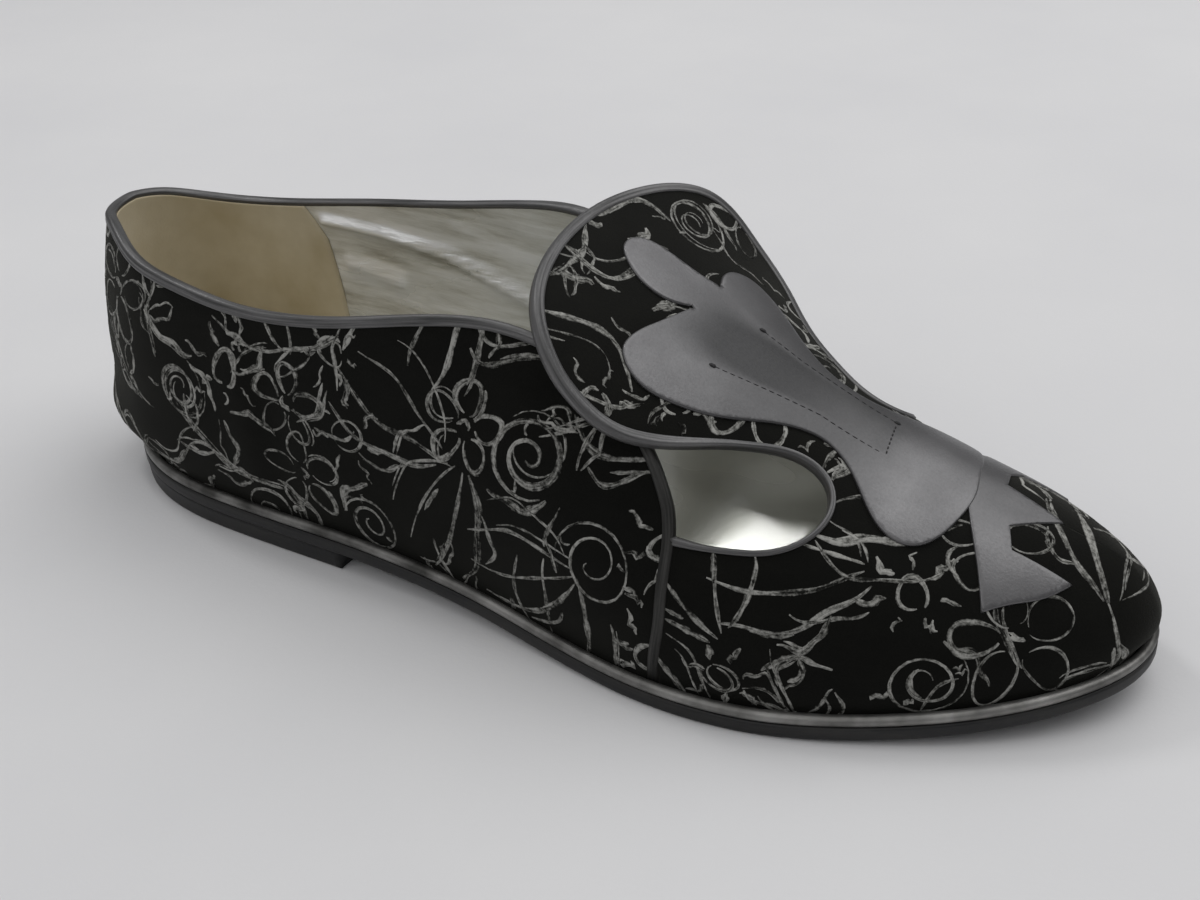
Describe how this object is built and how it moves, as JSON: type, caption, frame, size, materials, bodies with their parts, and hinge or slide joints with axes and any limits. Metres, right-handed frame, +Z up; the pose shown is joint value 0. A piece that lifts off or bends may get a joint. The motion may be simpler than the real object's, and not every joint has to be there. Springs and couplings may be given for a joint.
{
  "type": "t-strap flat shoe",
  "caption": "Flat slip-on shoe for the right foot: suede upper with a broad hood on a T-strap neck, open side cut-outs, bound edges, pointed toe and a low heel lift.",
  "frame": {"origin": "on the floor, under the middle of the shoe's box", "axes": "+X from heel to toe, +Y to the inner side of the foot, +Z up"},
  "size_m": [0.2506, 0.0846, 0.0791],
  "materials": {
    "black_sole": "black, dull, slightly scuffed at the edge",
    "pewter_leather": "pewter satin, fine smooth grain",
    "pewter_sock": "pewter, glossy",
    "black_suede": "black short nap with a silver-grey brushed print",
    "silver_lining": "silver, glossy, streaked by wear",
    "tan_grip": "tan, matt, short nap"
  },
  "bodies": {
    "root": {"outsole": "black_sole", "heel": "black_sole", "rand": "pewter_leather", "insole": "pewter_sock", "upper": "black_suede"}
  },
  "joints": []
}
